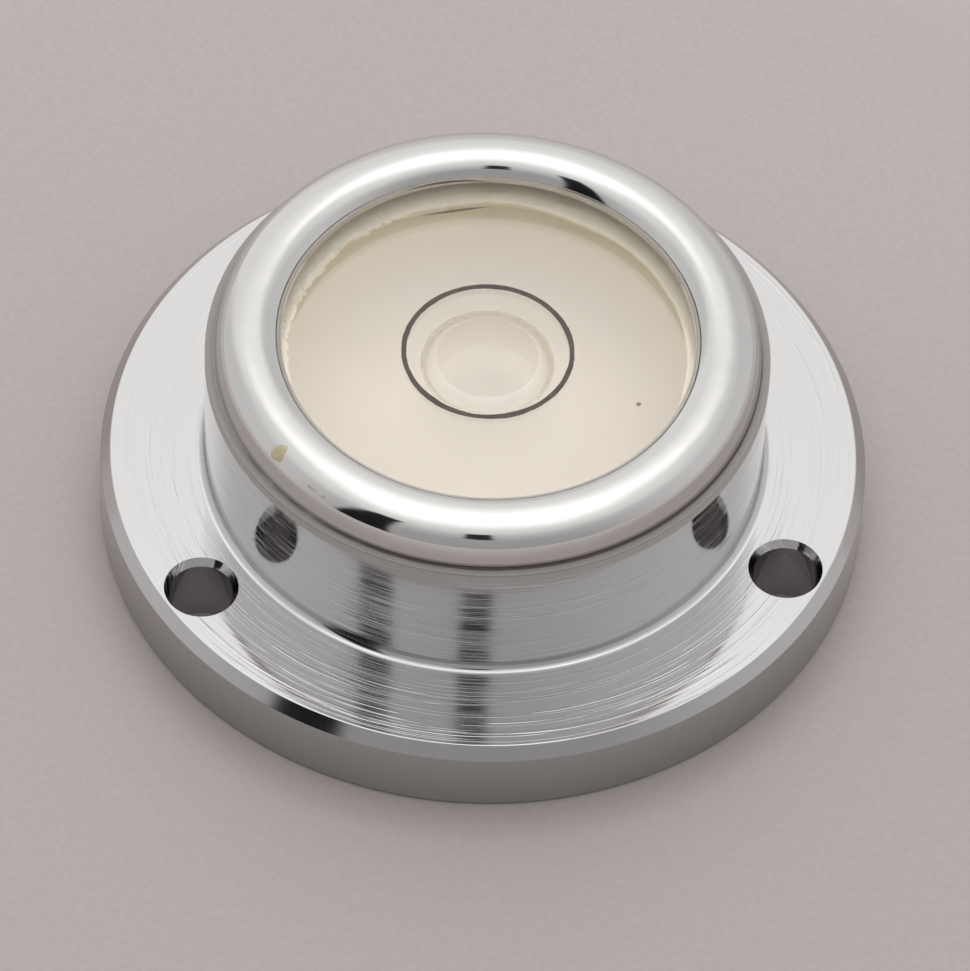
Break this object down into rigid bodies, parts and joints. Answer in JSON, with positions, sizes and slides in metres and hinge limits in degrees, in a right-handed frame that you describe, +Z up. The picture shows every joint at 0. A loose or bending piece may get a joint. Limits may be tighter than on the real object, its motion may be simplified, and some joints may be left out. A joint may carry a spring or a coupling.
{
  "type": "bullseye level",
  "caption": "Round bullseye spirit level: a bubble vial under a clear window with a printed circle, in a plated metal case with a flange and screw holes for fixing flat.",
  "frame": {"origin": "centre of the base, on the plane that it is screwed down to", "axes": "+Z up along the axis of the case; one of the screw holes lies on +Y"},
  "size_m": [0.0572, 0.0572, 0.0203],
  "materials": {
    "turned_plate": "nickel plate over turned brass, with fine concentric tool marks and light scratches",
    "burnished_plate": "nickel plate, burnished bright where the rim was rolled",
    "clear_glass": "clear, polished, ground hollow underneath",
    "circle_paint": "thin black-brown paint line, slightly uneven",
    "gasket_rubber": "grey, matte",
    "sealing_cement": "yellowed sealing cement, lumpy, slightly glossy",
    "cream_enamel": "cream enamel, smooth",
    "clear_spirit": "clear spirit with a faint yellow-green cast",
    "bedding_cement": "off-white plaster-like cement, matte",
    "fibre": "red-brown vulcanised fibre",
    "screw_brass": "plain brass, slightly dull"
  },
  "bodies": {
    "root": {"flanged_case": "turned_plate", "vial_cup": "burnished_plate", "top_glass": "clear_glass", "printed_circle": "circle_paint", "glass_gasket": "gasket_rubber", "sealing_cement": "sealing_cement", "cream_dish": "cream_enamel", "level_fluid": "clear_spirit", "bedding_ring": "bedding_cement", "filler_washer": "fibre", "filler_screw": "screw_brass"}
  },
  "joints": []
}
